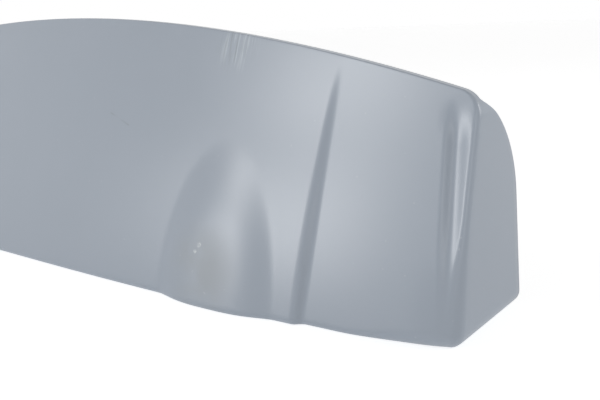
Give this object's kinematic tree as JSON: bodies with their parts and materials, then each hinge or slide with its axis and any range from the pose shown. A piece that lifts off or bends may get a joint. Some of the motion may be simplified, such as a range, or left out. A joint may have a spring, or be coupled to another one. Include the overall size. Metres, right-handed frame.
{
  "type": "roof spoiler",
  "caption": "One-piece primed car roof spoiler: a swept, cambered skin with humps and creases, end fins and a bonding flange along its front edge.",
  "frame": {"origin": "middle of the bonding flange's flat face, on the centre plane of the part", "axes": "+X across the car, +Y from the painted skin into the hollow behind it, +Z from the bonding face to the trailing edge"},
  "size_m": [1.1338, 0.1647, 0.272],
  "materials": {
    "primer": "satin blue-grey primer, lightly scuffed"
  },
  "bodies": {
    "root": {"spoiler_shell": "primer"}
  },
  "joints": []
}
